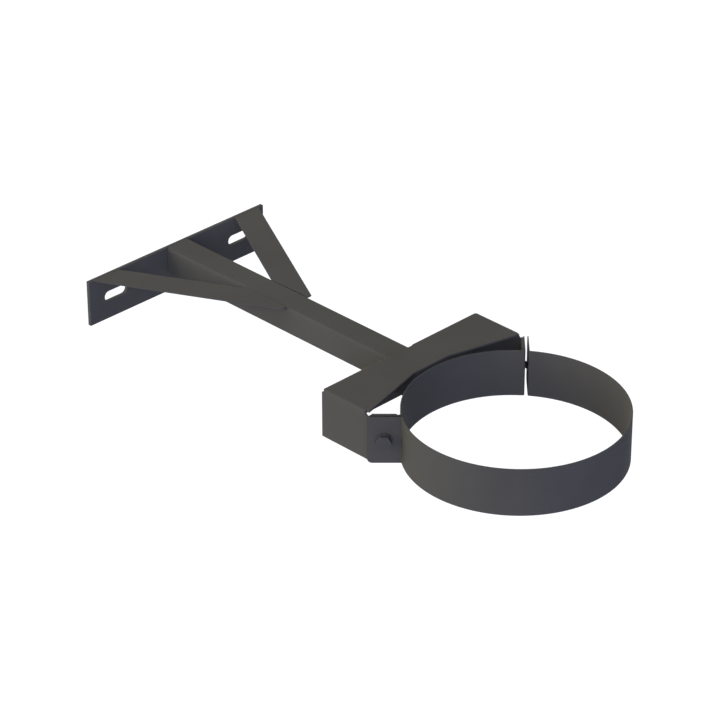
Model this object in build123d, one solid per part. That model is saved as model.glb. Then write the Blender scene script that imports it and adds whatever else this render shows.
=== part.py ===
"""Flue pipe wall bracket: a wall plate with a braced square beam, a folded head and a split clamp ring.

Frame: X out from the wall, Y along the plate, Z up, in millimetres.
The origin is the centre of the plate's wall face. Left is the -Y side.
"""
import os
from math import cos, radians, sin, sqrt, tan

from build123d import *

# Wall plate
PLATE_WIDTH = 240.0
PLATE_HEIGHT = 50.0
PLATE_THICK = 4.0
SLOT_SPACING = 170.0
SLOT_LENGTH = 30.0  # end to end
SLOT_WIDTH = 11.0

# Square beam, its top level with the plate's top edge
BEAM_LENGTH = 360.0
BEAM_SIDE = 30.0
BEAM_WALL = 2.0
BEAM_CORNER = 3.0  # outside radius
BEAM_SETBACK = 0.5  # beam's end, behind the flange's front edge

# Flat braces, level with the beam's top
BRACE_THICK = 1.5
BRACE_WIDTH = 29.4
BRACE_ANGLE = 28.0  # between a brace and the beam, in degrees
BRACE_MARGIN = 6.5  # plate left beyond a brace's outer corner
BRACE_TIP = 4.9  # width left at the square-cut tip

# Saddle, a channel over the beam's end that carries the head, as long as the flange
SADDLE_SHEET = 2.0
SADDLE_BEND = 2.0  # inside radius
SADDLE_SKIRT = 2.5  # cheek length below the beam

# Clamp ring, split twice, with a lug at each end of both straps
RING_BORE = 216.0
RING_HEIGHT = 50.0
RING_DROP = 1.4  # ring's top below the head's top
BAND_THICK = 1.0
BAND_BEND = 1.0  # inside radius where a lug is turned out
LUG_ANGLE = 45.0  # between the lugs and the beam, in degrees
LUG_REACH = 31.0  # beyond the band
LUG_CORNER = 5.0
SPLIT_OFFSET = 14.5  # middle of the split beside the ring's radial line
SPLIT_GAP = 3.0

# Head, one folded sheet
HEAD_SHEET = 2.0
HEAD_BEND = 0.5  # inside radius
HEAD_HEIGHT = 52.0
BACK_TRIM = 1.4  # back wall's lower edge above the side walls' lower edges
NOTCH_CLEARANCE = 1.0  # around the beam in the back wall
FLANGE_DEPTH = 40.9  # along the beam, in the middle
FLANGE_GAP = 2.8  # between the flange and the ring
FLANGE_FLAT = 48.0  # straight middle of the front edge
FLANGE_TIP = 2.8  # front edge's end, short of the tab's fold
FOLD_MARGIN = 13.5  # tab's fold, beyond the bolt's axis
TAB_GAP = 1.0  # between a tab's free end and the band
TAB_DROP = 1.5  # tab's top below the head's top
TAB_CORNER = 4.0
RELIEF_RADIUS = 5.0
RELIEF_SHIFT = 1.8  # relief's centre, short of the tab's fold
CORNER_SLACK = 0.9  # rear corner reliefs, below the flange's bend

# M8 fasteners
BOLT_OFFSET = 15.0  # axis beyond the band
BOLT_DIAMETER = 8.0
BOLT_LENGTH = 20.0
BOLT_POINT = 1.0  # chamfer at the bolt's end
BOLT_HOLE = 9.0
HEX_WIDTH = 13.0  # across flats
HEX_HEAD = 5.3
HEX_CHAMFER = 30.0  # degrees
NUT_HEIGHT = 6.8
THREAD_FIT = 0.05  # radial, between bolt and nut
NUT_MOUTH = 0.6  # chamfer of the nut's bore
WASHER_DIAMETER = 16.0
WASHER_BORE = 8.4
WASHER_THICK = 1.6

# Heights
BEAM_TOP = PLATE_HEIGHT / 2
BEAM_BOTTOM = BEAM_TOP - BEAM_SIDE
HEAD_TOP = BEAM_TOP + SADDLE_SHEET + HEAD_SHEET
HEAD_BOTTOM = HEAD_TOP - HEAD_HEIGHT
RING_TOP = HEAD_TOP - RING_DROP
RING_MIDDLE = RING_TOP - RING_HEIGHT / 2

# Distances from the wall
BEAM_END = PLATE_THICK + BEAM_LENGTH
FLANGE_FRONT = BEAM_END + BEAM_SETBACK
HEAD_BACK = FLANGE_FRONT - FLANGE_DEPTH
RING_INNER = RING_BORE / 2
RING_OUTER = RING_INNER + BAND_THICK
FLUE_AXIS = FLANGE_FRONT + FLANGE_GAP + RING_OUTER

# Along and across a lug, seen from above: out from the ring's axis, and off the radial line
ALONG = (cos(radians(LUG_ANGLE)), sin(radians(LUG_ANGLE)))
REAR_FACE = SPLIT_OFFSET - SPLIT_GAP / 2
REAR_BACK = REAR_FACE - BAND_THICK
FRONT_BACK = SPLIT_OFFSET + SPLIT_GAP / 2
FRONT_FACE = FRONT_BACK + BAND_THICK
TAB_FACE = REAR_BACK
TAB_BACK = TAB_FACE - HEAD_SHEET
BOLT_OUT = RING_OUTER + BOLT_OFFSET
LUG_END = RING_OUTER + LUG_REACH
TAB_END = RING_OUTER + TAB_GAP
HEAD_CREASE = HEAD_SHEET + HEAD_BEND
HEAD_HALF = (BOLT_OUT + FOLD_MARGIN) * ALONG[1] + TAB_FACE * ALONG[0]
FOLD_X = FLUE_AXIS - (BOLT_OUT + FOLD_MARGIN) * ALONG[0] + TAB_FACE * ALONG[1]
FLANGE_END = FOLD_X - FLANGE_TIP
BOLT_SEAT = FRONT_FACE + WASHER_THICK
NUT_SEAT = TAB_BACK - WASHER_THICK

# The left lug's frame: local x out along the lug, local z through it towards the front
LUG_FRAME = Plane(
    origin=(FLUE_AXIS, 0, RING_MIDDLE),
    x_dir=(-ALONG[0], -ALONG[1], 0),
    z_dir=(ALONG[1], -ALONG[0], 0),
)


def beside_lug(out, across):
    """Point in plan of the left lug's frame."""
    return (FLUE_AXIS - out * ALONG[0] + across * ALONG[1], -out * ALONG[1] - across * ALONG[0])


def both_sides(solid):
    """A left piece's solid together with its mirror image."""
    return [solid, mirror(solid, about=Plane.XZ)]


def nearest(shapes, point):
    """Vertex or edge that lies closest to a point."""
    return shapes.sort_by_distance(point)[0]


# Sheet and plate work


def channel(half, top, bottom, sheet, bend):
    """Section of a folded sheet channel, open below."""
    outer = Pos(0, (top + bottom) / 2) * Rectangle(2 * half, top - bottom)
    outer = fillet(outer.vertices().sort_by(Axis.Y)[-2:], sheet + bend)
    inner = Pos(0, (top - sheet + bottom) / 2) * Rectangle(2 * (half - sheet), top - sheet - bottom)
    inner = fillet(inner.vertices().sort_by(Axis.Y)[-2:], bend)
    return outer - inner


def across_beam(section, start, end):
    """Section drawn across the beam, run from one distance off the wall to another."""
    return extrude(Plane.YZ.offset(start) * section, end - start)


def plan_slab(points, low, high):
    """Flat outline in plan between two heights."""
    return extrude(Plane.XY.offset(low) * make_face(Polyline(*points, close=True)), high - low)


def wall_plate():
    """Plate with two level slots for the wall fixings."""
    slots = [Pos(side * SLOT_SPACING / 2, 0) * SlotOverall(SLOT_LENGTH, SLOT_WIDTH) for side in (-1, 1)]
    return across_beam(Rectangle(PLATE_WIDTH, PLATE_HEIGHT) - slots, 0, PLATE_THICK)


def beam_tube():
    """Square hollow section from the plate's front into the head."""
    inside = BEAM_SIDE - 2 * BEAM_WALL
    section = RectangleRounded(BEAM_SIDE, BEAM_SIDE, BEAM_CORNER)
    section -= RectangleRounded(inside, inside, BEAM_CORNER - BEAM_WALL)
    return across_beam(Pos(0, BEAM_TOP - BEAM_SIDE / 2) * section, PLATE_THICK, BEAM_END)


def braces():
    """Flat bars from the plate to the beam's sides, cut to fit against both."""
    slope = tan(radians(BRACE_ANGLE))
    side = -BEAM_SIDE / 2
    outer = BRACE_MARGIN - PLATE_WIDTH / 2
    inner = outer + BRACE_WIDTH / cos(radians(BRACE_ANGLE))
    tip = side - BRACE_TIP
    outline = [
        (PLATE_THICK, outer),
        (PLATE_THICK + (tip - outer) / slope, tip),
        (PLATE_THICK + (tip - outer) / slope, side),
        (PLATE_THICK + (side - inner) / slope, side),
        (PLATE_THICK, inner),
    ]
    return both_sides(plan_slab(outline, BEAM_TOP - BRACE_THICK, BEAM_TOP))


def head_saddle():
    """Channel over the beam's end, under the head's flange."""
    half = BEAM_SIDE / 2 + SADDLE_SHEET
    top = BEAM_TOP + SADDLE_SHEET
    section = channel(half, top, BEAM_BOTTOM - SADDLE_SKIRT, SADDLE_SHEET, SADDLE_BEND)
    return across_beam(section, HEAD_BACK + HEAD_SHEET, FLANGE_FRONT)


def head_tab():
    """Front end of the left side wall, folded in beside the ring."""
    inside = HEAD_HALF - HEAD_SHEET
    miter = HEAD_SHEET * tan(radians(LUG_ANGLE / 2))
    outer_fold = (FOLD_X, -HEAD_HALF)
    inner_fold = (FOLD_X - miter, -inside)
    outline = make_face(
        Polyline(
            (FLANGE_END, -HEAD_HALF),
            outer_fold,
            beside_lug(TAB_END, TAB_FACE),
            beside_lug(TAB_END, TAB_BACK),
            inner_fold,
            (FLANGE_END, -inside),
            close=True,
        )
    )
    outline = fillet(nearest(outline.vertices(), (*outer_fold, 0)), HEAD_CREASE)
    outline = fillet(nearest(outline.vertices(), (*inner_fold, 0)), HEAD_BEND)
    tab_top = HEAD_TOP - TAB_DROP
    tab = extrude(Plane.XY.offset(HEAD_BOTTOM) * outline, tab_top - HEAD_BOTTOM)
    end = beside_lug(TAB_END, (TAB_FACE + TAB_BACK) / 2)
    corners = [nearest(tab.edges(), (*end, level)) for level in (tab_top, HEAD_BOTTOM)]
    return fillet(corners, TAB_CORNER)


def bolt_holes():
    """Cutters through both pairs of lugs and tabs."""
    length = 2 * (FRONT_FACE - TAB_BACK)
    hole = LUG_FRAME * Pos(BOLT_OUT, 0, SPLIT_OFFSET) * Cylinder(BOLT_HOLE / 2, length)
    return both_sides(hole)


def head_cradle():
    """Flange, three walls and two tabs folded from one sheet, with a notch for the beam."""
    crease_y = HEAD_HALF - HEAD_CREASE
    crease_z = HEAD_TOP - HEAD_CREASE
    crease_x = HEAD_BACK + HEAD_CREASE

    # Flange and side walls
    section = channel(HEAD_HALF, HEAD_TOP, HEAD_BOTTOM, HEAD_SHEET, HEAD_BEND)
    head = across_beam(section, HEAD_BACK, FLANGE_END)

    # Corner reliefs behind the flange, then the back wall and its bend
    corner = [(HEAD_BACK, -HEAD_HALF), (crease_x, -HEAD_HALF), (crease_x, HEAD_HALF), (HEAD_BACK, HEAD_HALF)]
    head -= plan_slab(corner, crease_z - CORNER_SLACK, HEAD_TOP)
    bent = make_face(
        Polyline(
            (HEAD_BACK, HEAD_BOTTOM + BACK_TRIM),
            (HEAD_BACK, HEAD_TOP),
            (crease_x + HEAD_CREASE, HEAD_TOP),
            (crease_x + HEAD_CREASE, HEAD_TOP - HEAD_SHEET),
            (HEAD_BACK + HEAD_SHEET, HEAD_TOP - HEAD_SHEET),
            (HEAD_BACK + HEAD_SHEET, HEAD_BOTTOM + BACK_TRIM),
            close=True,
        )
    )
    bent = fillet(nearest(bent.vertices(), (HEAD_BACK, HEAD_TOP, 0)), HEAD_CREASE)
    inner_bend = (HEAD_BACK + HEAD_SHEET, HEAD_TOP - HEAD_SHEET, 0)
    bent = fillet(nearest(bent.vertices(), inner_bend), HEAD_BEND)
    head += extrude(Plane.XZ * bent, crease_y, both=True)

    # Front edge of the flange, drawn back round the ring
    front = [
        (FLANGE_FRONT, -FLANGE_FLAT / 2),
        (FLANGE_END, -crease_y),
        (FOLD_X, -crease_y),
        (FOLD_X, crease_y),
        (FLANGE_END, crease_y),
        (FLANGE_FRONT, FLANGE_FLAT / 2),
    ]
    head -= plan_slab(front, crease_z, HEAD_TOP)

    # Tabs, and the round reliefs where their folds meet the flange's bends
    for tab in both_sides(head_tab()):
        head += tab
    relief = Cylinder(RELIEF_RADIUS, HEAD_HALF, align=(Align.CENTER, Align.CENTER, Align.MIN))
    relief = Pos(FOLD_X - RELIEF_SHIFT, -crease_y, HEAD_TOP) * Rot(X=90) * relief
    head -= both_sides(relief)

    # Notch over the beam, open through the bend
    notch = BEAM_SIDE / 2 + NOTCH_CLEARANCE
    outline = [(HEAD_BACK, -notch), (crease_x, -notch), (crease_x, notch), (HEAD_BACK, notch)]
    head -= plan_slab(outline, BEAM_BOTTOM - NOTCH_CLEARANCE, HEAD_TOP)
    return head - bolt_holes()


# Clamp straps


def strap(split, turned, behind):
    """Strap of the ring with a lug at each end.

    split is the lug face on the split, turned the lug's other face, and behind says
    whether the strap is the one between the ring and the wall.
    """
    apex = FLUE_AXIS + split / ALONG[1]
    spread = 2 * RING_BORE
    wedge = make_face(
        Polyline(
            (apex, 0),
            (apex - spread * ALONG[0], -spread * ALONG[1]),
            (apex - spread * ALONG[0], spread * ALONG[1]),
            close=True,
        )
    )
    band = Pos(FLUE_AXIS, 0) * (Circle(RING_OUTER) - Circle(RING_INNER))
    band = band & wedge if behind else band - wedge

    root = sqrt((RING_INNER + BAND_THICK / 2) ** 2 - ((split + turned) / 2) ** 2)
    lug = make_face(
        Polyline(
            beside_lug(root, split),
            beside_lug(LUG_END, split),
            beside_lug(LUG_END, turned),
            beside_lug(root, turned),
            close=True,
        )
    )
    outline = band + both_sides(lug)

    outside = beside_lug(sqrt(RING_INNER**2 - split**2), split)
    inside = beside_lug(sqrt(RING_OUTER**2 - turned**2), turned)
    for x, y in (outside, (outside[0], -outside[1])):
        outline = fillet(nearest(outline.vertices(), (x, y, 0)), BAND_BEND + BAND_THICK)
    for x, y in (inside, (inside[0], -inside[1])):
        outline = fillet(nearest(outline.vertices(), (x, y, 0)), BAND_BEND)

    low = RING_TOP - RING_HEIGHT
    solid = extrude(Plane.XY.offset(low) * outline, RING_HEIGHT)
    x, y = beside_lug(LUG_END, (split + turned) / 2)
    ends = [(x, side * y, level) for side in (-1, 1) for level in (low, RING_TOP)]
    solid = fillet([nearest(solid.edges(), end) for end in ends], LUG_CORNER)
    return solid - bolt_holes()


# Fasteners, drawn upright on the origin with the bolt's shank downwards


def hex_prism(height, both_ends):
    """Hexagon with its corners turned off at the top, and at the foot too if asked."""
    radius = HEX_WIDTH / 2
    corner = radius / cos(radians(30))
    drop = (corner - radius) * tan(radians(HEX_CHAMFER))
    foot = [(radius, 0), (corner, drop)] if both_ends else [(corner, 0)]
    top = [(corner, height - drop), (radius, height)]
    turned = make_face(Polyline((0, 0), *foot, *top, (0, height), close=True))
    return extrude(RegularPolygon(corner, 6), height) & revolve(Plane.XZ * turned, Axis.Z)


def bolt():
    """Hexagon bolt, seated at height 0, its thread left plain."""
    shank = Cylinder(BOLT_DIAMETER / 2, BOLT_LENGTH, align=(Align.CENTER, Align.CENTER, Align.MAX))
    shank = chamfer(shank.edges().sort_by(Axis.Z)[0], BOLT_POINT)
    return hex_prism(HEX_HEAD, False) + shank


def nut():
    """Hexagon nut, its upper face seated at height 0."""
    body = hex_prism(NUT_HEIGHT, True)
    bore = BOLT_DIAMETER / 2 + THREAD_FIT
    hole = make_face(
        Polyline(
            (0, 0),
            (bore + NUT_MOUTH, 0),
            (bore, NUT_MOUTH),
            (bore, NUT_HEIGHT - NUT_MOUTH),
            (bore + NUT_MOUTH, NUT_HEIGHT),
            (0, NUT_HEIGHT),
            close=True,
        )
    )
    body -= revolve(Plane.XZ * hole, Axis.Z)
    return Pos(0, 0, -NUT_HEIGHT) * body


def washer():
    """Flat washer, standing on height 0."""
    return extrude(Circle(WASHER_DIAMETER / 2) - Circle(WASHER_BORE / 2), WASHER_THICK)


def on_bolt(piece, across):
    """A fastener and its mirror image, moved to the bolts' axes."""
    return both_sides(LUG_FRAME * Pos(BOLT_OUT, 0, across) * piece)


def pieces():
    """Every node's name with its solid."""
    named = {
        "wall_plate": wall_plate(),
        "beam_tube": beam_tube(),
        "head_saddle": head_saddle(),
        "head_cradle": head_cradle(),
        "rear_strap": strap(REAR_FACE, REAR_BACK, True),
        "front_strap": strap(FRONT_BACK, FRONT_FACE, False),
    }
    pairs = {
        "brace": braces(),
        "bolt": on_bolt(bolt(), BOLT_SEAT),
        "washer_front": on_bolt(washer(), FRONT_FACE),
        "washer_rear": on_bolt(washer(), NUT_SEAT),
        "nut": on_bolt(nut(), NUT_SEAT),
    }
    for name, (left, right) in pairs.items():
        named[f"{name}_left"] = left
        named[f"{name}_right"] = right
    return named


os.makedirs("parts", exist_ok=True)
for node, shape in pieces().items():
    export_step(shape, f"parts/{node}.step")
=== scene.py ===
"""Flue pipe wall bracket, dressed: plate, tube, braces, folded head, clamp straps and fasteners.

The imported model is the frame: X out from the wall, Y along the plate, Z up. Sizes here are in
millimetres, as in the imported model's drawing, and meshes are in metres. Left is the -Y side.
"""

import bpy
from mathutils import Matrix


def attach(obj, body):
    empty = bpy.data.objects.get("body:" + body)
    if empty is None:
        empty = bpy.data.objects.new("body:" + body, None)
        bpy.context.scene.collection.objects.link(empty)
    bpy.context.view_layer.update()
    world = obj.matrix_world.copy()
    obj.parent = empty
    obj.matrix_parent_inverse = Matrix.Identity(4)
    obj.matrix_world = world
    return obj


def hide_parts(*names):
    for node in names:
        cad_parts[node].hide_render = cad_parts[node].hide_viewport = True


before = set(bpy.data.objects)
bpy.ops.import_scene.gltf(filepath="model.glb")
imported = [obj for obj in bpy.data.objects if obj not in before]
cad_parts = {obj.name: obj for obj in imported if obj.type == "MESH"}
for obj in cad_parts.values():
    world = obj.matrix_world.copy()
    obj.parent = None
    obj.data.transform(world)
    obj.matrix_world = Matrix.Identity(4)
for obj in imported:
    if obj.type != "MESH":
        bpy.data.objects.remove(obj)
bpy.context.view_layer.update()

import logging
from collections.abc import Callable, Iterable
from dataclasses import dataclass
from enum import Enum
from math import asin, degrees, pi, radians, sqrt, tan

import bmesh
import bpy
from mathutils import Matrix, Vector

Piece = bpy.types.Object
Triple = tuple[float, float, float]
Test = Callable[[Vector, Vector], bool]

LOG = logging.getLogger("flue_bracket")
MM = 0.001
BODY = "root"

# Least cosine with an axis of an edge or normal that runs along it, and of one that runs true to it
ALONG = 0.9
TRUE_TO = 0.99
# Millimetres within which two sizes are the same, in line with the frame and after a turn
SAME = 0.02
SAME_TURNED = 0.05
# Millimetres within which two corners are one, and a corner lies on a saw's cut
ONE_CORNER = 0.005
ON_CUT = 0.001
# Millimetres that a pick reaches past a line, and that a cutter stands proud of what it cuts
PAST = 1.0
PROUD = 1.0
# Least turn between two faces that makes an edge sharp, in degrees, and the flats that round it
SHARP_DEG = 40.0
ROUND_STEPS = 2
# Sine and cosine of 45 degrees, the turn of the clamp's two splits
DIAGONAL = sqrt(0.5)
WHITE = (1.0, 1.0, 1.0, 1.0)


class Side(Enum):
    """Left and right of the beam, by the sign of Y."""

    LEFT = -1
    RIGHT = 1

    @property
    def word(self) -> str:
        """The side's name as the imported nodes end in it."""
        return self.name.lower()


class Part(Enum):
    """What a pick selects."""

    CORNERS = "VERT"
    EDGES = "EDGE"
    FACES = "FACE"


# Bench work: the few steps that every piece is made with


def linear(code: str) -> tuple[float, float, float, float]:
    """Turn an sRGB hex colour to linear light, by the sRGB curve.

    Args:
        code: six hex digits with a leading #.

    Returns:
        Red, green, blue and an alpha of 1.
    """
    parts = [int(code[i : i + 2], 16) / 255 for i in (1, 3, 5)]
    light = [v / 12.92 if v <= 0.04045 else ((v + 0.055) / 1.055) ** 2.4 for v in parts]
    return (light[0], light[1], light[2], 1.0)


def mm(x: float, y: float, z: float) -> Vector:
    """A place or length in metres, from millimetres."""
    return Vector((x, y, z)) * MM


def near(value: float, target: float, slack: float = SAME) -> bool:
    """Whether two sizes in millimetres are the same."""
    return abs(value - target) < slack


def clear_selection() -> None:
    """Leave edit mode and select nothing, so that the next operator acts on its own piece alone."""
    if bpy.context.object is not None and bpy.context.object.mode != "OBJECT":
        bpy.ops.object.mode_set(mode="OBJECT")
    bpy.ops.object.select_all(action="DESELECT")


def take(piece: Piece) -> None:
    """Make a piece the only one selected and the active one.

    Args:
        piece: the piece to work on next.
    """
    clear_selection()
    piece.select_set(True)
    bpy.context.view_layer.objects.active = piece


def open_up(piece: Piece) -> None:
    """Take a piece into edit mode with all of it selected.

    Args:
        piece: the piece to work on next.
    """
    take(piece)
    bpy.ops.object.mode_set(mode="EDIT")
    bpy.ops.mesh.select_all(action="SELECT")


def named(name: str) -> Piece:
    """Name the primitive just added and put its place into its mesh.

    Args:
        name: the piece's name.

    Returns:
        The piece, selected, with its origin at the frame's origin.
    """
    piece = bpy.context.object
    piece.name = piece.data.name = name
    bpy.ops.object.transform_apply(location=True, rotation=True, scale=True)
    return piece


def block(name: str, low: Vector, high: Vector) -> Piece:
    """Add a cube primitive between two corners.

    Args:
        name: the piece's name.
        low: lowest corner, in millimetres.
        high: highest corner, in millimetres.

    Returns:
        The block.
    """
    clear_selection()
    bpy.ops.mesh.primitive_cube_add(size=MM, location=(low + high) / 2 * MM, scale=high - low)
    return named(name)


def rod(name: str, radius: float, start: Vector, end: Vector, sides: int = 48) -> Piece:
    """Add a cylinder primitive from one place to another.

    Args:
        name: the piece's name.
        radius: in millimetres.
        start: middle of one end, in millimetres.
        end: middle of the other end, in millimetres.
        sides: number of its flat sides.

    Returns:
        The rod.
    """
    run = end - start
    clear_selection()
    bpy.ops.mesh.primitive_cylinder_add(
        vertices=sides,
        radius=radius * MM,
        depth=run.length * MM,
        location=(start + end) / 2 * MM,
        rotation=run.to_track_quat("Z", "Y").to_euler(),
    )
    return named(name)


def sheet(name: str, middle: Vector, size: tuple[float, float], turn: Triple = (0, 0, 0)) -> Piece:
    """Add a plane primitive at its size and place.

    Args:
        name: the piece's name.
        middle: its centre, in millimetres.
        size: its two sides, in millimetres.
        turn: Euler angles, in radians.

    Returns:
        The flat blank.
    """
    clear_selection()
    bpy.ops.mesh.primitive_plane_add(size=MM, location=middle * MM, rotation=turn)
    bpy.context.object.scale = (*size, 1)
    return named(name)


def pick(piece: Piece, part: Part, test: Test) -> None:
    """Select, in edit mode, the corners, edges or faces that a test passes.

    Args:
        piece: the piece in hand.
        part: what is selected.
        test: takes an item's middle in millimetres, and a unit vector that is an edge's run or the
            normal of a corner or face.
    """
    open_up(piece)
    bpy.ops.mesh.select_mode(type=part.value)
    bpy.ops.mesh.select_all(action="DESELECT")
    mesh = bmesh.from_edit_mesh(piece.data)
    if part is Part.CORNERS:
        items = [(corner, corner.co, corner.normal) for corner in mesh.verts]
    elif part is Part.EDGES:
        ends = [(edge, edge.verts[0].co, edge.verts[1].co) for edge in mesh.edges]
        items = [(edge, (start + end) / 2, (end - start).normalized()) for edge, start, end in ends]
    else:
        items = [(face, face.calc_center_median(), face.normal) for face in mesh.faces]
    found = [item for item, middle, way in items if test(middle / MM, way)]
    for item in found:
        item.select_set(True)
    mesh.select_flush_mode()
    bmesh.update_edit_mesh(piece.data)
    if not found:
        LOG.warning("%s: a pick found nothing", piece.name)


def pull(run: Vector) -> None:
    """Extrude the picked edges by a run in millimetres."""
    bpy.ops.mesh.extrude_edges_move(TRANSFORM_OT_translate={"value": run * MM})


def taper(run: Vector, share: float) -> None:
    """Extrude the picked end of a turned piece along its axis, and narrow it.

    Args:
        run: along the frame's Z axis, in millimetres.
        share: the new end's radius over the old one's.
    """
    bpy.ops.mesh.extrude_region_move(TRANSFORM_OT_translate={"value": run * MM})
    waist(share)


def waist(share: float) -> None:
    """Narrow what is picked towards the frame's Z axis to a share of its radius."""
    bpy.ops.transform.resize(value=(share, share, 1), center_override=(0, 0, 0))


def fold(centre: Vector, axis: Triple, angle: float, steps: int) -> None:
    """Spin the picked edges about an axis, as a folding machine bends a sheet.

    With no window the operator turns left-handed, so it gets the axis reversed.

    Args:
        centre: a place on the axis, in millimetres.
        axis: its direction.
        angle: right-handed, in radians.
        steps: number of flats in the bend.
    """
    way = -1 if angle > 0 else 1
    bpy.ops.mesh.spin(
        steps=steps,
        angle=abs(angle),
        center=centre * MM,
        axis=tuple(way * part for part in axis),
        use_auto_merge=False,
    )


def saw(piece: Piece, place: Vector, way: Vector, off: bool = True) -> None:
    """Saw a piece across with a flat cut, or only scribe the line of the cut.

    Args:
        piece: the piece in hand.
        place: a place on the cut, in millimetres.
        way: square to the cut, towards what falls off.
        off: whether it falls off and the cut is closed.
    """
    open_up(piece)
    bpy.ops.mesh.bisect(
        plane_co=place * MM, plane_no=way, use_fill=off, clear_outer=off, threshold=ON_CUT * MM
    )


def merge(piece: Piece) -> None:
    """Merge a piece's doubled corners, and leave it in edit mode with all of it selected.

    Args:
        piece: the piece in hand.
    """
    open_up(piece)
    bpy.ops.mesh.remove_doubles(threshold=ONE_CORNER * MM)


def tidy_skin(piece: Piece, facing: Test) -> None:
    """Merge a folded skin's doubles and turn its faces outwards.

    Args:
        piece: the skin.
        facing: takes a face's middle in millimetres and its normal, and says whether the face
            looks outwards.
    """
    merge(piece)
    bpy.ops.mesh.normals_make_consistent(inside=False)
    faces = bmesh.from_edit_mesh(piece.data).faces
    outwards = sum(1 for face in faces if facing(face.calc_center_median() / MM, face.normal))
    if outwards < len(faces) / 2:
        bpy.ops.mesh.flip_normals()
    bpy.ops.object.mode_set(mode="OBJECT")


def work(piece: Piece, kind: str, **settings: object) -> None:
    """Add a modifier with its settings and apply it.

    Args:
        piece: the piece in hand.
        kind: the modifier's type.
        settings: values for its fields.
    """
    take(piece)
    modifier = piece.modifiers.new(kind.lower(), kind)
    for field, value in settings.items():
        setattr(modifier, field, value)
    bpy.ops.object.modifier_apply(modifier=modifier.name)


def thicken(piece: Piece, thickness: float) -> None:
    """Give a skin its metal, in millimetres, on the side that its faces look away from."""
    work(piece, "SOLIDIFY", thickness=thickness * MM, offset=-1, use_even_offset=True)


def cut(piece: Piece, tools: Iterable[Piece], operation: str = "DIFFERENCE") -> None:
    """Cut a piece with others, which are used up.

    Args:
        piece: the piece in hand.
        tools: closed cutters.
        operation: the boolean modifier's operation.
    """
    for tool in tools:
        work(piece, "BOOLEAN", object=tool, operation=operation, solver="EXACT")
        bpy.data.objects.remove(tool)


def soften(piece: Piece, width: float) -> None:
    """Round a piece's sharp edges, and shade it smooth over flat faces that stay flat.

    Args:
        piece: the piece in hand.
        width: of the rounding, in millimetres.
    """
    work(
        piece,
        "BEVEL",
        width=width * MM,
        segments=ROUND_STEPS,
        limit_method="ANGLE",
        angle_limit=radians(SHARP_DEG),
        use_clamp_overlap=False,
    )
    bpy.ops.object.shade_smooth_by_angle(angle=radians(SHARP_DEG))
    work(piece, "WEIGHTED_NORMAL", keep_sharp=True)


def twin(piece: Piece, name: str) -> Piece:
    """Copy a left piece to the right by mirroring it, with its own mesh.

    Args:
        piece: the left piece.
        name: the right piece's name.

    Returns:
        The right piece.
    """
    take(piece)
    bpy.ops.object.duplicate(linked=False)
    bpy.ops.transform.mirror(constraint_axis=(False, True, False), center_override=(0, 0, 0))
    copy = named(name)
    open_up(copy)
    bpy.ops.mesh.normals_make_consistent(inside=False)
    bpy.ops.object.mode_set(mode="OBJECT")
    return copy


# Finishes


def add_node(
    tree: bpy.types.NodeTree,
    kind: str,
    settings: dict[str | int, object] | None = None,
    links: dict[str | int, bpy.types.NodeSocket] | None = None,
) -> bpy.types.Node:
    """Add a node with its settings and links.

    Args:
        tree: the node tree.
        kind: the node's type.
        settings: values for its fields, or else for its inputs of those names.
        links: the output that feeds each named input.

    Returns:
        The node.
    """
    node = tree.nodes.new(kind)
    for name, value in (settings or {}).items():
        if isinstance(name, str) and hasattr(node, name):
            setattr(node, name, value)
        else:
            node.inputs[name].default_value = value
    for name, output in (links or {}).items():
        tree.links.new(output, node.inputs[name])
    return node


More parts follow.
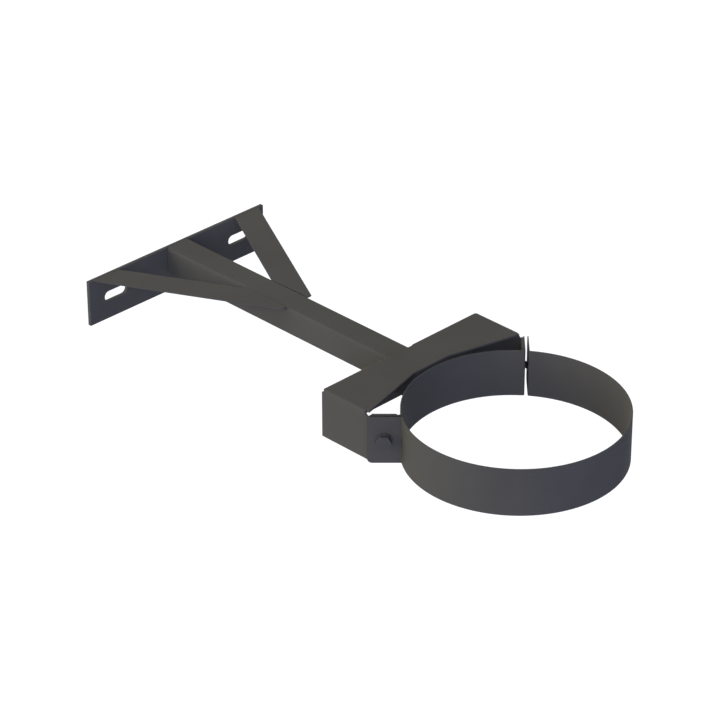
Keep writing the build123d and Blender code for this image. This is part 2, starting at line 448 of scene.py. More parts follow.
@dataclass(frozen=True)
class Coating:
    """A thin coat on steel: a satin film, faintly rippled like orange peel.

    The ripple breaks up the edge of every soft reflection, and the film's tone drifts a little
    over each face, as the coat lies thicker on one part than another.

    Attributes:
        name: the material's name.
        colour: the coat's hex colour.
        thin: its hex colour where it lies thin.
        roughness: mean roughness.
        peel_mm: distance between the ripples.
        peel_depth_mm: their depth.
        drift_mm: size of the patches of one tone.
        speck_mm: distance between the specks. The real grain is a tenth of a millimetre, too fine
            to show, so it is drawn coarse.
        speck_share: how strong the specks are beside the drift.
        soft_detail: levels of finer noise in the drift and the ripple.
        speck_detail: levels of finer noise in the specks.
        tones: where the sum of both starts to look thin, and where it looks thin altogether.
        satin: how far the specks raise or lower the roughness.
        specular: specular level, low because the matt film hardly shines at a glance.
    """

    name: str
    colour: str
    thin: str
    roughness: float
    peel_mm: float
    peel_depth_mm: float
    drift_mm: float = 70.0
    speck_mm: float = 0.9
    speck_share: float = 0.3
    soft_detail: float = 2.0
    speck_detail: float = 1.0
    tones: tuple[float, float] = (0.4, 0.9)
    satin: float = 0.05
    specular: float = 0.015

    def material(self) -> bpy.types.Material:
        """Build the coating once.

        Returns:
            The material, the same one each time.
        """
        found = bpy.data.materials.get(self.name)
        if found is not None:
            return found
        material = bpy.data.materials.new(self.name)
        material.use_nodes = True
        tree = material.node_tree
        tree.nodes.clear()
        place = add_node(tree, "ShaderNodeTexCoord").outputs["Object"]
        drift, speck, peel = [
            add_node(
                tree,
                "ShaderNodeTexNoise",
                {"Scale": 1 / (size * MM), "Detail": detail},
                {"Vector": place},
            ).outputs["Fac"]
            for size, detail in (
                (self.drift_mm, self.soft_detail),
                (self.speck_mm, self.speck_detail),
                (self.peel_mm, self.soft_detail),
            )
        ]
        share = add_node(
            tree,
            "ShaderNodeMath",
            {"operation": "MULTIPLY_ADD", 1: self.speck_share},
            {0: speck, 2: drift},
        )
        tone = add_node(
            tree,
            "ShaderNodeMapRange",
            {"From Min": self.tones[0], "From Max": self.tones[1]},
            {"Value": share.outputs["Value"]},
        )
        colour = add_node(
            tree,
            "ShaderNodeMix",
            {"data_type": "RGBA", 6: linear(self.colour), 7: linear(self.thin)},
            {"Factor": tone.outputs["Result"]},
        )
        gloss = add_node(
            tree,
            "ShaderNodeMapRange",
            {"To Min": self.roughness - self.satin, "To Max": self.roughness + self.satin},
            {"Value": speck},
        )
        ripple = add_node(
            tree,
            "ShaderNodeBump",
            {"Strength": 1.0, "Distance": self.peel_depth_mm * MM},
            {"Height": peel},
        )
        surface = add_node(
            tree,
            "ShaderNodeBsdfPrincipled",
            {"Specular IOR Level": self.specular},
            {
                "Base Color": colour.outputs[2],
                "Roughness": gloss.outputs["Result"],
                "Normal": ripple.outputs["Normal"],
            },
        )
        add_node(tree, "ShaderNodeOutputMaterial", None, {"Surface": surface.outputs["BSDF"]})
        return material


# Dark grey polyester powder coat, baked on folded and welded steel: an even, nearly matt grey, so
# faces are told apart by the light on them, and only the bends carry a soft highlight.
COAT = Coating(
    name="powder_coated_steel_dark_grey",
    colour="#4A4A49",
    thin="#4F4F4E",
    roughness=0.6,
    peel_mm=1.6,
    peel_depth_mm=0.02,
)
# Black zinc plating on the bolts, nuts and washers: thinner than the powder, so it is smoother,
# slightly colder and keeps the edges of the hexagon crisp.
FASTENER_COAT = Coating(
    name="black_zinc_plated_steel",
    colour="#47474A",
    thin="#4C4C4E",
    roughness=0.4,
    peel_mm=0.6,
    peel_depth_mm=0.006,
)


def dress(piece: Piece, coating: Coating, node: str) -> None:
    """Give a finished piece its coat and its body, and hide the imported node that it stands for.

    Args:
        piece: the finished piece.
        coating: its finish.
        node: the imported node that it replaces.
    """
    piece.data.materials.clear()
    piece.data.materials.append(coating.material())
    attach(piece, BODY)
    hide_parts(node)
    LOG.info("%s: %d faces", piece.name, len(piece.data.polygons))


# Studio


def looked_at(tree: bpy.types.NodeTree) -> bpy.types.NodeSocket:
    """Tell the rays that see a surface, straight or in gloss or glass, from those that light it.

    Args:
        tree: the floor's or the surround's node tree.

    Returns:
        An output that is 1 for a ray that sees and 0 for the others.
    """
    path = add_node(tree, "ShaderNodeLightPath")
    seen = path.outputs["Is Camera Ray"]
    for ray in ("Is Glossy Ray", "Is Transmission Ray"):
        seen = add_node(
            tree, "ShaderNodeMath", {"operation": "MAXIMUM"}, {0: seen, 1: path.outputs[ray]}
        ).outputs["Value"]
    return seen


@dataclass(frozen=True)
class Lamp:
    """One soft distant lamp.

    Attributes:
        name: the lamp's name.
        toward: direction from the bracket to the lamp.
        colour: its light's hex colour.
        strength: light on a face that looks at it, in watts per square metre.
        width_deg: how wide it looks from the bracket.
    """

    name: str
    toward: Triple
    colour: str
    strength: float
    width_deg: float

    def hang(self) -> None:
        """Add the lamp to the scene."""
        clear_selection()
        turn = Vector(self.toward).to_track_quat("Z", "Y").to_euler()
        bpy.ops.object.light_add(type="SUN", rotation=turn)
        lamp = bpy.context.object
        lamp.name = self.name
        lamp.data.energy = self.strength
        lamp.data.color = linear(self.colour)[:3]
        lamp.data.angle = radians(self.width_deg)


@dataclass
class Studio:
    """Camera at the photograph's angle, plain floor, soft lamps and a white surround.

    The floor and the surround look white where they are seen, and light the bracket with less.
    """

    camera_mm: Triple = (2245.611, -1962.907, 1603.424)
    turn_deg: Triple = (60.0, 0.0, 45.0)
    lens_mm: float = 164.17
    sensor_mm: float = 36.0
    shift: tuple[float, float] = (-0.0142, -0.00039)
    view_depth_m: float = 100.0
    floor_mm: float = -900.0
    floor_size_mm: float = 40000.0
    floor_paint: str = "#C9D0E1"
    floor_glow: float = 1.42
    glow_share: float = 0.6
    surround: float = 0.12
    surround_colour: str = "#FFFFFF"
    lamps: tuple[Lamp, ...] = (
        Lamp("lamp_camera", (1.0, -1.0, 0.4), "#E5E5FF", 1.94, 50.0),
        Lamp("lamp_left", (-0.4, -1.0, 0.1), "#FFEFC1", 1.66, 50.0),
        Lamp("lamp_rear_left", (-1.0, -0.7, 0.05), "#FFF9F3", 0.65, 50.0),
        Lamp("lamp_rear", (-1.0, 0.0, 0.3), "#FFF8E1", 3.58, 120.0),
        Lamp("lamp_front", (1.0, 0.0, 0.2), "#90ADFF", 0.7, 120.0),
    )

    def camera(self) -> None:
        """Place the camera and make it the scene's."""
        clear_selection()
        bpy.ops.object.camera_add(
            location=Vector(self.camera_mm) * MM,
            rotation=[radians(angle) for angle in self.turn_deg],
        )
        camera = bpy.context.object
        camera.name = "camera"
        camera.data.lens = self.lens_mm
        camera.data.sensor_width = self.sensor_mm
        camera.data.shift_x, camera.data.shift_y = self.shift
        camera.data.clip_end = self.view_depth_m
        bpy.context.scene.camera = camera

    def floor(self) -> None:
        """Lay a pale painted floor below the bracket, which hangs on its wall fixings."""
        size = (self.floor_size_mm, self.floor_size_mm)
        floor = sheet("floor", Vector((0, 0, self.floor_mm)), size)
        material = bpy.data.materials.new("pale_painted_floor")
        material.use_nodes = True
        tree = material.node_tree
        tree.nodes.clear()
        paint = add_node(tree, "ShaderNodeBsdfDiffuse", {"Color": linear(self.floor_paint)})
        glow = add_node(
            tree, "ShaderNodeEmission", {"Color": WHITE, "Strength": self.floor_glow}
        )
        # The paint keeps its own share where it is seen, so that the bracket's shadow stays on it
        share = add_node(
            tree,
            "ShaderNodeMath",
            {"operation": "MULTIPLY", 1: self.glow_share},
            {0: looked_at(tree)},
        )
        mix = add_node(
            tree,
            "ShaderNodeMixShader",
            None,
            {"Fac": share.outputs["Value"], 1: paint.outputs["BSDF"], 2: glow.outputs["Emission"]},
        )
        add_node(tree, "ShaderNodeOutputMaterial", None, {"Surface": mix.outputs["Shader"]})
        floor.data.materials.append(material)

    def world(self) -> None:
        """Surround everything with soft light that looks white where it is seen."""
        world = bpy.data.worlds.new("surround")
        bpy.context.scene.world = world
        world.use_nodes = True
        tree = world.node_tree
        tree.nodes.clear()
        fill, white = [
            add_node(tree, "ShaderNodeBackground", {"Color": colour, "Strength": strength})
            for colour, strength in (
                (linear(self.surround_colour), self.surround),
                (WHITE, 1.0),
            )
        ]
        mix = add_node(
            tree,
            "ShaderNodeMixShader",
            None,
            {
                "Fac": looked_at(tree),
                1: fill.outputs["Background"],
                2: white.outputs["Background"],
            },
        )
        add_node(tree, "ShaderNodeOutputWorld", None, {"Surface": mix.outputs["Shader"]})

    def build(self) -> None:
        """Set up camera, floor, surround and lamps."""
        self.camera()
        self.floor()
        self.world()
        for lamp in self.lamps:
            lamp.hang()
        bpy.context.scene.view_settings.view_transform = "Standard"
        LOG.info("studio ready")


# Pieces


@dataclass
class WallPlate:
    """Flat bar that lies on the wall, with a level slot near each end."""

    length: float = 240.0
    width: float = 50.0
    thick: float = 4.0
    slot_spacing: float = 170.0
    slot_length: float = 30.0
    slot_width: float = 11.0
    slot_steps: int = 12
    edge: float = 0.3

    def slot(self, side: Side) -> Piece:
        """Shape the cutter of one slot, a block with its four short edges rounded off whole.

        Args:
            side: which end of the plate.

        Returns:
            The cutter.
        """
        y = side.value * self.slot_spacing / 2
        reach, half = self.slot_length / 2, self.slot_width / 2
        tool = block(
            "slot_cutter",
            Vector((-PROUD, y - reach, -half)),
            Vector((self.thick + PROUD, y + reach, half)),
        )
        pick(tool, Part.EDGES, lambda place, run: abs(run.x) > ALONG)
        bpy.ops.mesh.bevel(offset=half * MM, segments=self.slot_steps, affect="EDGES")
        merge(tool)
        return tool

    def build(self) -> None:
        """Cut the plate from bar, with its edges eased."""
        plate = block(
            "plate_bar",
            Vector((0, -self.length / 2, -self.width / 2)),
            Vector((self.thick, self.length / 2, self.width / 2)),
        )
        cut(plate, [self.slot(side) for side in Side])
        soften(plate, self.edge)
        dress(plate, COAT, "wall_plate")


@dataclass
class Beam:
    """Square tube from the plate to the head, with rounded long edges."""

    start: float = 4.0
    end: float = 364.0
    side: float = 30.0
    bottom: float = -5.0
    wall: float = 2.0
    corner: float = 3.0
    corner_steps: int = 6
    edge: float = 0.2

    def build(self) -> None:
        """Open a block at both ends, round its long edges and give it its wall."""
        half = self.side / 2
        tube = block(
            "beam_square_tube",
            Vector((self.start, -half, self.bottom)),
            Vector((self.end, half, self.bottom + self.side)),
        )
        pick(tube, Part.FACES, lambda place, normal: abs(normal.x) > ALONG)
        bpy.ops.mesh.delete(type="FACE")
        pick(tube, Part.EDGES, lambda place, run: abs(run.x) > ALONG)
        bpy.ops.mesh.bevel(offset=self.corner * MM, segments=self.corner_steps, affect="EDGES")
        thicken(tube, self.wall)
        soften(tube, self.edge)
        dress(tube, COAT, "beam_tube")


@dataclass
class Braces:
    """Two thin flat bars in the plane of the beam's top, each from the plate to a side of the beam.

    They run on half a millimetre over the rounding of the beam's corner, so that no light shows
    at the seam.
    """

    thick: float = 1.5
    width: float = 29.4
    turn_deg: float = 28.0
    top: float = 25.0
    plate_face: float = 4.0
    plate_margin: float = 113.5
    bar_from: float = -40.0
    bar_to: float = 220.0
    beam_side: float = 14.5
    tip: float = 180.0
    edge: float = 0.25

    def build(self) -> None:
        """Turn one bar to its angle, saw it to the plate, the beam and its tip, and mirror it."""
        heel = Vector((self.plate_face, -self.plate_margin, self.top))
        bar = block(
            "brace_bar_left",
            heel + Vector((self.bar_from, 0, -self.thick)),
            heel + Vector((self.bar_to, self.width, 0)),
        )
        open_up(bar)
        # With no window this operator turns left-handed too
        bpy.ops.transform.rotate(
            value=-radians(self.turn_deg), orient_axis="Z", center_override=heel * MM
        )
        saw(bar, heel, Vector((-1, 0, 0)))
        saw(bar, Vector((0, -self.beam_side, 0)), Vector((0, 1, 0)))
        saw(bar, Vector((self.tip, 0, 0)), Vector((1, 0, 0)))
        soften(bar, self.edge)
        dress(bar, COAT, "brace_left")
        dress(twin(bar, "brace_bar_right"), COAT, "brace_right")


@dataclass
class Saddle:
    """Short channel of sheet over the beam's end, under the head's flange and as long."""

    start: float = 325.6
    end: float = 364.5
    half_width: float = 17.0
    bottom: float = -7.5
    top: float = 27.0
    thick: float = 2.0
    bend: float = 4.0
    bend_steps: int = 8
    edge: float = 0.25

    def build(self) -> None:
        """Open a block at its ends and bottom, round its top edges and give it its sheet."""
        saddle = block(
            "saddle_channel",
            Vector((self.start, -self.half_width, self.bottom)),
            Vector((self.end, self.half_width, self.top)),
        )
        pick(
            saddle, Part.FACES, lambda place, normal: abs(normal.x) > ALONG or normal.z < -ALONG
        )
        bpy.ops.mesh.delete(type="FACE")
        pick(
            saddle, Part.EDGES, lambda place, run: abs(run.x) > ALONG and near(place.z, self.top)
        )
        bpy.ops.mesh.bevel(offset=self.bend * MM, segments=self.bend_steps, affect="EDGES")
        thicken(saddle, self.thick)
        soften(saddle, self.edge)
        dress(saddle, COAT, "head_saddle")


@dataclass
class Clamp:
    """Sizes that the head's tabs, the straps and the bolts share: a ring split on two lines.

    Both lines are radial. A place by a split is told by its distance from the flue's axis along
    the split's line, by its distance in front of that line, and by its height.
    """

    axis_x: float = 476.3
    middle_z: float = 2.6
    bore: float = 108.0
    band: float = 1.0
    height: float = 50.0
    bend: float = 1.0
    lug_end: float = 140.0
    lug_corner: float = 5.0
    bolt_line: float = 124.0
    hole: float = 4.5
    hole_sides: int = 40

    @property
    def axis(self) -> Vector:
        """The flue's axis at the frame's level."""
        return Vector((self.axis_x, 0, 0))

    def out(self, side: Side) -> Vector:
        """The radial way of a side's split, away from the flue."""
        return Vector((-DIAGONAL, side.value * DIAGONAL, 0))

    def front(self, side: Side) -> Vector:
        """The way across a side's split, towards the bolt's head."""
        return Vector((DIAGONAL, side.value * DIAGONAL, 0))

    def spot(self, side: Side, out: float, front: float, z: float = 0.0) -> Vector:
        """A place by a side's split, in millimetres."""
        return self.axis + self.out(side) * out + self.front(side) * front + Vector((0, 0, z))

    def how_far_out(self, side: Side, place: Vector) -> float:
        """A place's distance from the flue's axis along a side's split."""
        return (place - self.axis).dot(self.out(side))

    def how_far_front(self, side: Side, place: Vector) -> float:
        """A place's distance in front of a side's split."""
        return (place - self.axis).dot(self.front(side))

    def hole_cutter(self, side: Side, back: float, front: float) -> Piece:
        """Make the cutter of a bolt hole.

        Args:
            side: left or right.
            back: where it starts across the split, in millimetres.
            front: where it ends.

        Returns:
            The cutter.
        """
        ends = [self.spot(side, self.bolt_line, across, self.middle_z) for across in (back, front)]
        return rod("hole_cutter", self.hole, *ends, self.hole_sides)


CLAMP = Clamp()


@dataclass
class Head:
    """One sheet folded into a flange, a notched back wall, side walls and two turned-in tabs."""

    clamp: Clamp
    thick: float = 2.0
    bend: float = 2.5
    bend_steps: int = 6
    back: float = 323.6
    half_width: float = 105.71
    top: float = 29.0
    bottom: float = -23.0
    back_bottom: float = -21.6
    notch_half: float = 16.0
    notch_bottom: float = -6.0
    flange_flat: float = 24.0
    flange_middle: float = 364.5
    flange_tip: float = 384.76
    tab_face: float = 12.0
    tab_end: float = 110.0
    tab_top: float = 27.5
    tab_corner: float = 4.0
    tab_corner_steps: int = 6
    drill_back: float = -4.0
    drill_front: float = 2.0
    relief_radius: float = 5.0
    relief_shift: float = 1.8
    relief_length: float = 8.0
    relief_sides: int = 36
    corner_slack: float = 0.9
    edge: float = 0.25

    def flange(self) -> Piece:
        """Lay out the flange and draw the middle of its front edge back.

        Returns:
            The blank.
        """
        low, wide = self.back + self.bend, self.half_width - self.bend
        blank = sheet(
            "head_folded_sheet",
            Vector(((low + self.flange_tip) / 2, 0, self.top)),
            (self.flange_tip - low, 2 * wide),
        )
        for y in (-self.flange_flat, -self.notch_half, self.notch_half, self.flange_flat):
            saw(blank, Vector((0, y, 0)), Vector((0, 1, 0)), off=False)
        pick(
            blank,
            Part.CORNERS,
            lambda place, normal: near(place.x, self.flange_tip)
            and abs(place.y) < self.flange_flat + PAST,
        )
        bpy.ops.transform.translate(value=mm(self.flange_middle - self.flange_tip, 0, 0))
        return blank

    def fold_back(self, blank: Piece) -> None:
        """Fold the back wall down on both sides of the notch and join it below.

        Args:
            blank: the sheet in hand.
        """
        crease = Vector((self.back + self.bend, 0, self.top - self.bend))
        pick(
            blank,
            Part.EDGES,
            lambda place, run: near(place.x, crease.x)
            and abs(run.y) > ALONG
            and abs(place.y) > self.notch_half,
        )
        fold(crease, (0, -1, 0), pi / 2, self.bend_steps)
        pull(Vector((0, 0, self.notch_bottom - crease.z)))
        pull(Vector((0, 0, self.back_bottom - self.notch_bottom)))
        pick(
            blank,
            Part.EDGES,
            lambda place, run: near(place.x, self.back)
            and near(abs(place.y), self.notch_half)
            and abs(run.z) > ALONG
            and place.z < self.notch_bottom,
        )
        bpy.ops.mesh.bridge_edge_loops()

    def fold_side(self, blank: Piece, side: Side) -> None:
        """Fold one side wall down, with an open relief at its rear corner.

        Args:
            blank: the sheet in hand.
            side: left or right.
        """
        way = side.value
        crease = Vector((0, way * (self.half_width - self.bend), self.top - self.bend))
        pick(
            blank,
            Part.EDGES,
            lambda place, run: near(place.y, crease.y)
            and near(place.z, self.top)
            and abs(run.x) > ALONG,
        )
        fold(crease, (-way, 0, 0), pi / 2, self.bend_steps)
        pull(Vector((0, 0, self.bottom - crease.z)))
        low, relieved = self.back + self.bend, crease.z - self.corner_slack

        def behind(place: Vector) -> bool:
            """Whether a place is on the side wall behind the back bend."""
            return place.x < low and near(place.y, way * self.half_width)

        pick(blank, Part.EDGES, self.wall_end(side, low))
        pull(Vector((-self.bend, 0, 0)))
        pick(blank, Part.FACES, lambda place, normal: behind(place))
        bpy.ops.mesh.bisect(
            plane_co=mm(0, 0, relieved), plane_no=(0, 0, 1), threshold=ON_CUT * MM
        )
        pick(blank, Part.FACES, lambda place, normal: behind(place) and place.z > relieved)
        bpy.ops.mesh.delete(type="FACE")

    def fold_tab(self, blank: Piece, side: Side) -> None:
        """Fold one tab in by an eighth of a turn, raise its top and round its corners.

        Args:
            blank: the sheet in hand.
            side: left or right.
        """
        pick(blank, Part.EDGES, self.wall_end(side, self.flange_tip))
        hinge = self.hinge(side)
        pull(Vector((hinge.x - self.flange_tip, 0, 0)))
        fold(hinge, (0, 0, 1), -side.value * pi / 4, self.bend_steps)
        pull(self.clamp.out(side) * (self.tab_end - self.clamp.how_far_out(side, hinge)))

        def on_tab(place: Vector) -> bool:
            """Whether a place is on the tab's flat."""
            return near(self.clamp.how_far_front(side, place), self.tab_face, SAME_TURNED)

        crease_z = self.top - self.bend
        pick(blank, Part.CORNERS, lambda place, normal: on_tab(place) and near(place.z, crease_z))
        bpy.ops.transform.translate(value=mm(0, 0, self.tab_top - crease_z))
        pick(
            blank,
            Part.CORNERS,
            lambda place, normal: on_tab(place)
            and near(self.clamp.how_far_out(side, place), self.tab_end, SAME_TURNED),
        )
        bpy.ops.mesh.bevel(
            offset=self.tab_corner * MM, segments=self.tab_corner_steps, affect="VERTICES"
        )

    def wall_end(self, side: Side, x: float) -> Test:
        """Test for a side wall's upright edge below the bend.

        Args:
            side: left or right.
            x: where the edge is, in millimetres.

        Returns:
            The test, for a pick of edges.
        """
        return (
            lambda place, run: near(place.x, x)
            and near(place.y, side.value * self.half_width)
            and abs(run.z) > TRUE_TO
            and place.z < self.top - self.bend
        )

    def hinge(self, side: Side) -> Vector:
        """Find the axis of a tab's fold, where the bend meets the tab's face.

        Args:
            side: left or right.

        Returns:
            A place on it, in millimetres.
        """
        y = side.value * (self.half_width - self.bend)
        across = self.tab_face - self.bend
        return Vector((self.clamp.axis_x + across / DIAGONAL - abs(y), y, 0))

    def relief(self, side: Side) -> Piece:
        """Make the cutter of the round relief where the side's bend and the tab's fold meet.

        Args:
            side: left or right.

        Returns:
            The cutter.
        """
        x = self.hinge(side).x + self.bend * tan(pi / 8) - self.relief_shift
        start = Vector((x, side.value * (self.half_width - self.bend), self.top))
        end = start + Vector((0, side.value * self.relief_length, 0))
        return rod("relief_cutter", self.relief_radius, start, end, self.relief_sides)

    def build(self) -> None:
        """Fold the head from its flange outwards, and drill its tabs."""
        blank = self.flange()
        self.fold_back(blank)
        for side in Side:
            self.fold_side(blank, side)
            self.fold_tab(blank, side)
        inside = Vector((self.back + self.half_width / 3, 0, 0))
        tidy_skin(blank, lambda place, normal: normal.dot(place - inside) > 0)
        thicken(blank, self.thick)
        drill = (self.tab_face + self.drill_back, self.tab_face + self.drill_front)
        for side in Side:
            cut(blank, [self.relief(side), self.clamp.hole_cutter(side, *drill)])
        soften(blank, self.edge)
        dress(blank, COAT, "head_cradle")


@dataclass
class Strap:
    """Part of the ring: steel strip with a lug bent out at each split.

    The strip's skin is its face towards the flue. At a lug that face looks at the split.
    """

    clamp: Clamp
    name: str
    node: str
    split_face: float
    closes_forward: bool
    ring_step_deg: float = 3.0
    bend_steps: int = 8
    corner_steps: int = 8
    drill: float = 3.0
    edge: float = 0.12

    def build(self) -> None:
        """Bend the strip from the left lug round to the right one, and drill both lugs."""
        clamp = self.clamp
        way = 1 if self.closes_forward else -1
        skin_radius = clamp.bend + clamp.band
        hinge_front = self.split_face + way * skin_radius
        reach = clamp.bore + skin_radius
        hinge_out = sqrt(reach**2 - hinge_front**2)
        lug = clamp.lug_end - hinge_out
        strip = sheet(
            self.name,
            clamp.spot(Side.LEFT, hinge_out + lug / 2, self.split_face, clamp.middle_z),
            (lug, clamp.height),
            (pi / 2, 0, pi / 4),
        )
        pick(
            strip,
            Part.EDGES,
            lambda place, run: abs(run.z) > ALONG
            and clamp.how_far_out(Side.LEFT, place) < hinge_out + PAST,
        )
        lean = asin(hinge_front / reach)
        bend = -way * (pi / 2 - way * lean)
        ring = 3 * pi / 2 - 2 * lean if self.closes_forward else -(pi / 2 + 2 * lean)
        ring_steps = round(abs(degrees(ring)) / self.ring_step_deg)
        upright = (0, 0, 1)
        fold(clamp.spot(Side.LEFT, hinge_out, hinge_front), upright, bend, self.bend_steps)
        fold(clamp.axis, upright, ring, ring_steps)
        fold(clamp.spot(Side.RIGHT, hinge_out, hinge_front), upright, bend, self.bend_steps)
        pull(clamp.out(Side.RIGHT) * lug)
        pick(
            strip,
            Part.CORNERS,
            lambda place, normal: any(
                near(clamp.how_far_out(side, place), clamp.lug_end, SAME_TURNED)
                and near(clamp.how_far_front(side, place), self.split_face, SAME_TURNED)
                for side in Side
            ),
        )
        bpy.ops.mesh.bevel(
            offset=clamp.lug_corner * MM, segments=self.corner_steps, affect="VERTICES"
        )
        tidy_skin(strip, lambda place, normal: normal.dot(clamp.axis - place) > 0)
        thicken(strip, clamp.band)
        drill = (self.split_face - self.drill, self.split_face + self.drill)
        for side in Side:
            cut(strip, [clamp.hole_cutter(side, *drill)])
        soften(strip, self.edge)
        dress(strip, COAT, self.node)


@dataclass
class Fasteners:
    """M8 hexagon bolts with their washers and nuts, turned and threaded, one set at each split.

    Each is made about the frame's Z axis, with Z as the distance in front of the split's line.
    """

    clamp: Clamp
    across: float = 13.0
    head_from: float = 18.6
    head: float = 5.3
    head_face: float = 7.25
    nut_from: float = 1.6
    nut: float = 6.8
    nut_face: float = 6.175
    chamfer_deg: float = 30.0
    turned_past: float = 0.3
    turned_sides: int = 72
    end: float = -1.4
    pitch: float = 1.25
    crest: float = 4.0
    root: float = 3.2
    point: float = 1.0
    thread_steps: int = 24
    spare_turns: int = 3
    bore: float = 4.05
    mouth: float = 4.65
    washer_radius: float = 8.0
    washer_bore: float = 4.2
    washer: float = 1.6
    washer_sides: int = 64
    front_washer_from: float = 17.0
    rear_washer_from: float = 8.4
    smooth_deg: float = 25.0
    edge: float = 0.2

    def place(self, piece: Piece, side: Side) -> None:
        """Set a piece on a split's bolt line.

        Args:
            piece: the piece, made about the frame's Z axis.
            side: left or right.
        """
        clamp = self.clamp
        front, out = clamp.front(side), clamp.out(side)
        turn = Matrix((out.cross(front), out, front)).transposed().to_4x4()
        spot = clamp.spot(side, clamp.bolt_line, 0, clamp.middle_z)
        take(piece)
        piece.matrix_world = Matrix.Translation(spot * MM) @ turn
        bpy.ops.object.transform_apply(location=True, rotation=True, scale=True)

    def hexagon(self, name: str, low: float, high: float, ends: int, face: float) -> Piece:
        """Make a hexagon bar whose corners are turned off at one or both ends.

        Args:
            name: the piece's name.
            low: where it starts along its axis, in millimetres.
            high: where it ends.
            ends: 1 for the high end, 2 for both.
            face: radius of the end face that the turning leaves, in millimetres.

        Returns:
            The blank.
        """
        corner = self.across / sqrt(3)
        bar = rod(name, corner, Vector((0, 0, low)), Vector((0, 0, high)), sides=6)
        pick(bar, Part.EDGES, lambda place, run: abs(run.z) > ALONG)
        bpy.ops.mesh.bevel(offset=self.edge * MM, segments=ROUND_STEPS, affect="EDGES")
        wide = corner + self.turned_past
        slope = (wide - face) * tan(radians(self.chamfer_deg))
        start, end = low + slope if ends == 2 else low - PROUD, high - slope
        turned = rod(
            "turned_blank", wide, Vector((0, 0, start)), Vector((0, 0, end)), self.turned_sides
        )
        for z, way in ((end, 1), (start, -1))[:ends]:
            pick(
                turned,
                Part.FACES,
                lambda place, normal: near(place.z, z) and abs(normal.z) > ALONG,
            )
            taper(Vector((0, 0, way * slope)), face / wide)
        cut(bar, [turned], "INTERSECT")
        return bar

    def thread(self, low: float, high: float) -> Piece:
        """Wind one tooth's outline into a screw thread and saw it square at both ends.

        Args:
            low: where it starts along its axis, in millimetres.
            high: where it ends.

        Returns:
            The threaded rod, closed.
        """
        start = mm(self.root, 0, low - self.pitch)
        clear_selection()
        bpy.ops.mesh.primitive_plane_add(size=MM, location=start)
        screw = named("thread")
        # One corner of the plane stays, and draws the tooth: flats of an eighth of the pitch
        pick(screw, Part.CORNERS, lambda place, normal: place.x > self.root or place.y > 0)
        bpy.ops.mesh.delete(type="VERT")
        bpy.ops.object.mode_set(mode="OBJECT")
        screw.data.vertices[0].co = start
        pick(screw, Part.CORNERS, lambda place, normal: True)
        flat = self.pitch / 8
        rise, depth = (self.pitch - 2 * flat) / 2, self.crest - self.root
        for x, z in ((0, flat), (depth, rise), (0, flat), (-depth, rise)):
            bpy.ops.mesh.extrude_vertices_move(TRANSFORM_OT_translate={"value": mm(x, 0, z)})
        work(
            screw,
            "SCREW",
            axis="Z",
            angle=2 * pi,
            screw_offset=self.pitch * MM,
            iterations=int((high - low) / self.pitch) + self.spare_turns,
            steps=self.thread_steps,
            render_steps=self.thread_steps,
            use_merge_vertices=False,
        )
        merge(screw)
        saw(screw, Vector((0, 0, low)), Vector((0, 0, -1)))
        saw(screw, Vector((0, 0, high)), Vector((0, 0, 1)))
        tidy_skin(screw, lambda place, normal: normal.x * place.x + normal.y * place.y > 0)
        return screw

    def bolt(self) -> Piece:
        """Join a chamfered head to a threaded, pointed shank.

        Returns:
            The left bolt.
        """
        head_to = self.head_from + self.head
        head = self.hexagon("hex_bolt_left", self.head_from, head_to, 1, self.head_face)
        shank = self.thread(self.end - self.pitch / 2, self.head_from + self.pitch)
        wide, tip = self.crest + self.point / 2, self.crest - self.point
        cone = wide - tip
        turned = rod(
            "turned_blank",
            wide,
            Vector((0, 0, self.end + cone)),
            Vector((0, 0, head_to)),
            self.turned_sides,
        )
        pick(turned, Part.FACES, lambda place, normal: normal.z < -ALONG)
        taper(Vector((0, 0, -cone)), tip / wide)
        cut(shank, [turned], "INTERSECT")
        cut(head, [shank], "UNION")
        return head

    def hex_nut(self) -> Piece:
        """Bore a chamfered hexagon and countersink both mouths.

        Returns:
            The left nut.
        """
        low, high = self.nut_from, self.nut_from + self.nut
        nut = self.hexagon("hex_nut_left", low, high, 2, self.nut_face)
        ends = Vector((0, 0, low - PROUD)), Vector((0, 0, high + PROUD))
        bore = rod("bore_cutter", self.mouth, *ends)
        depth = self.mouth - self.bore
        for z in (low, low + depth, high - depth, high):
            saw(bore, Vector((0, 0, z)), Vector((0, 0, 1)), off=False)
        half = depth / 2
        pick(bore, Part.CORNERS, lambda place, normal: low + half < place.z < high - half)
        waist(self.bore / self.mouth)
        cut(nut, [bore])
        return nut

    def washer_disc(self, name: str, low: float) -> Piece:
        """Punch a washer and ease its edges.

        Args:
            name: the piece's name.
            low: where it starts across the split, in millimetres.

        Returns:
            The left washer.
        """
        ends = Vector((0, 0, low)), Vector((0, 0, low + self.washer))
        disc = rod(name, self.washer_radius, *ends, self.washer_sides)
        proud = Vector((0, 0, PROUD))
        cut(disc, [rod("punch", self.washer_bore, ends[0] - proud, ends[1] + proud)])
        soften(disc, self.edge)
        return disc

    def build(self) -> None:
        """Make each fastener once, copy it for the right, and set both on their bolt lines."""
        made = {
            "bolt": self.bolt(),
            "nut": self.hex_nut(),
            "washer_front": self.washer_disc("washer_disc_front_left", self.front_washer_from),
            "washer_rear": self.washer_disc("washer_disc_rear_left", self.rear_washer_from),
        }
        for node, piece in made.items():
            take(piece)
            bpy.ops.object.shade_smooth_by_angle(angle=radians(self.smooth_deg))
            bpy.ops.object.duplicate(linked=False)
            copy = named(piece.name.replace("left", "right"))
            for side, turned in ((Side.LEFT, piece), (Side.RIGHT, copy)):
                self.place(turned, side)
                dress(turned, FASTENER_COAT, f"{node}_{side.word}")


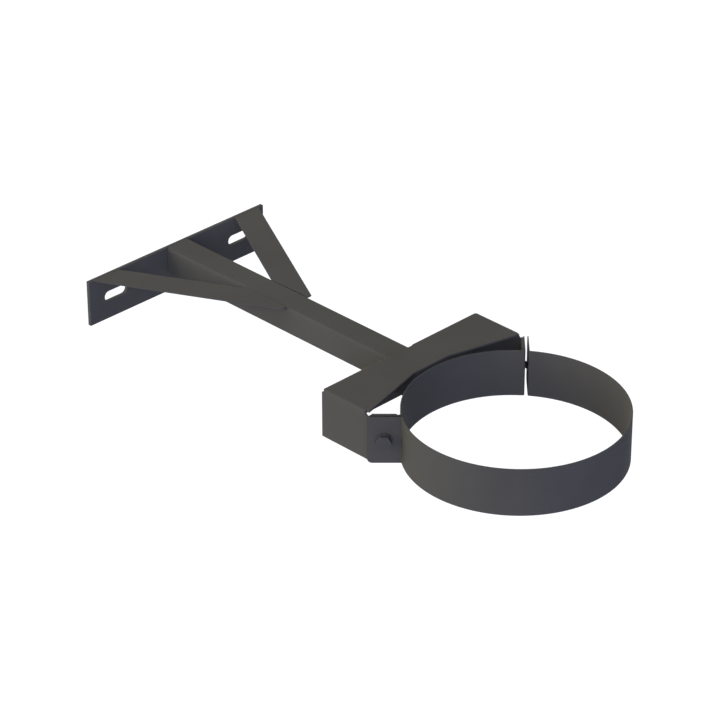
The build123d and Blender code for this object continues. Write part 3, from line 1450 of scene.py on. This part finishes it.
def main() -> None:
    """Build the bracket piece by piece, then the studio."""
    logging.basicConfig(level=logging.INFO, format="%(name)s %(message)s")
    WallPlate().build()
    Beam().build()
    Braces().build()
    Saddle().build()
    Head(CLAMP).build()
    Strap(CLAMP, "strap_rear_band", "rear_strap", split_face=13.0, closes_forward=False).build()
    Strap(CLAMP, "strap_front_band", "front_strap", split_face=16.0, closes_forward=True).build()
    Fasteners(CLAMP).build()
    Studio().build()


if __name__ == "__main__":
    main()
